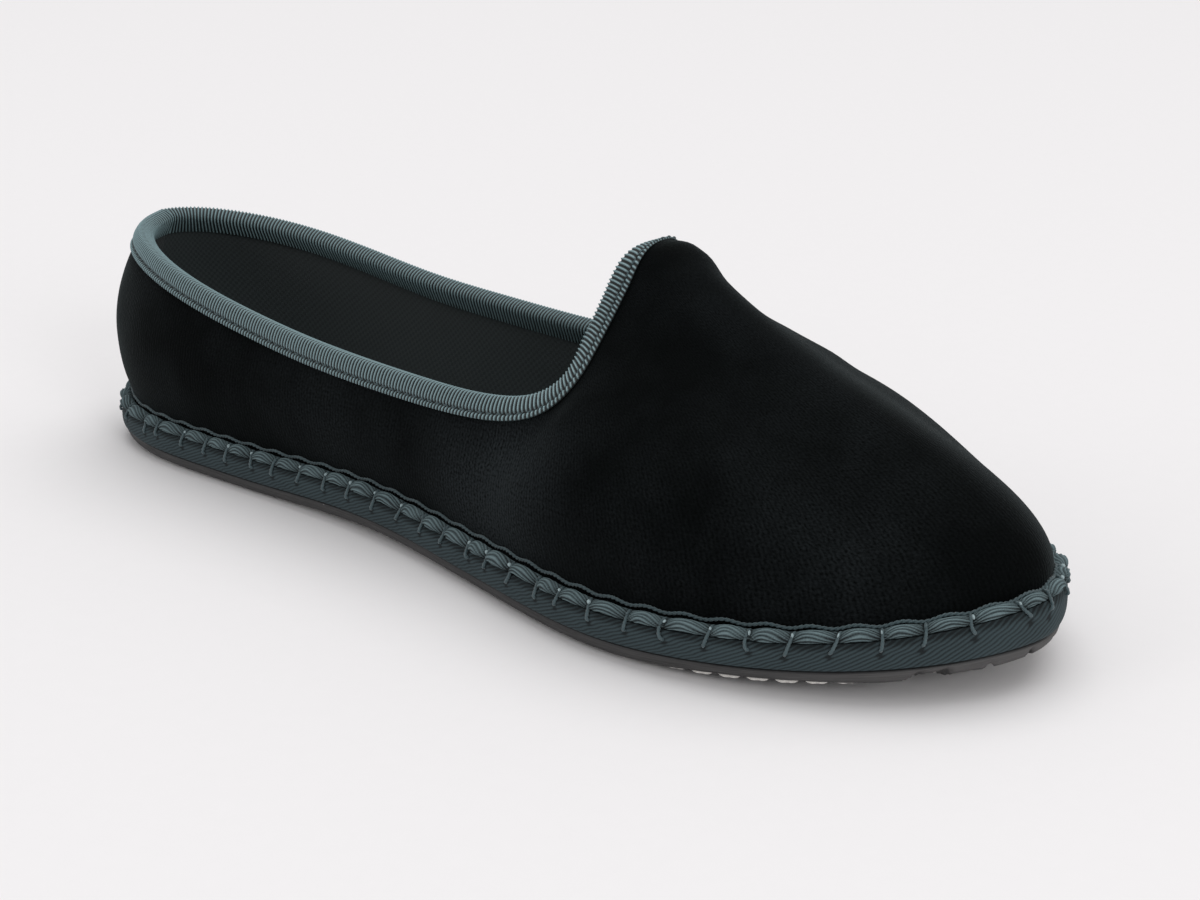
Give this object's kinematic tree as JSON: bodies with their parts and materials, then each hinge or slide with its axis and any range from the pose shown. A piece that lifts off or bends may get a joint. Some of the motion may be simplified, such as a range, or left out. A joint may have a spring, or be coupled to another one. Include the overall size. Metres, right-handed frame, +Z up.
{
  "type": "velvet slipper",
  "caption": "Low velvet slipper with a pointed throat, bound topline, twill-wrapped cloth midsole and a stitched flat rubber outsole.",
  "frame": {"origin": "floor point under the middle of the shoe's length and width", "axes": "+X from heel to toe, +Y to the wearer's left, +Z up from the floor"},
  "size_m": [0.2516, 0.086, 0.0687],
  "materials": {
    "tread_rubber": "satin black rubber with white stitching",
    "twill": "dark teal cotton twill",
    "velvet": "short-pile velvet, teal black",
    "grosgrain": "ribbed dark teal tape",
    "lining": "plain dark cotton"
  },
  "bodies": {
    "root": {"outsole": "tread_rubber", "wrapped_midsole": "twill", "seam_roll": "twill", "upper": "velvet", "topline_binding": "grosgrain", "insole": "lining"}
  },
  "joints": []
}
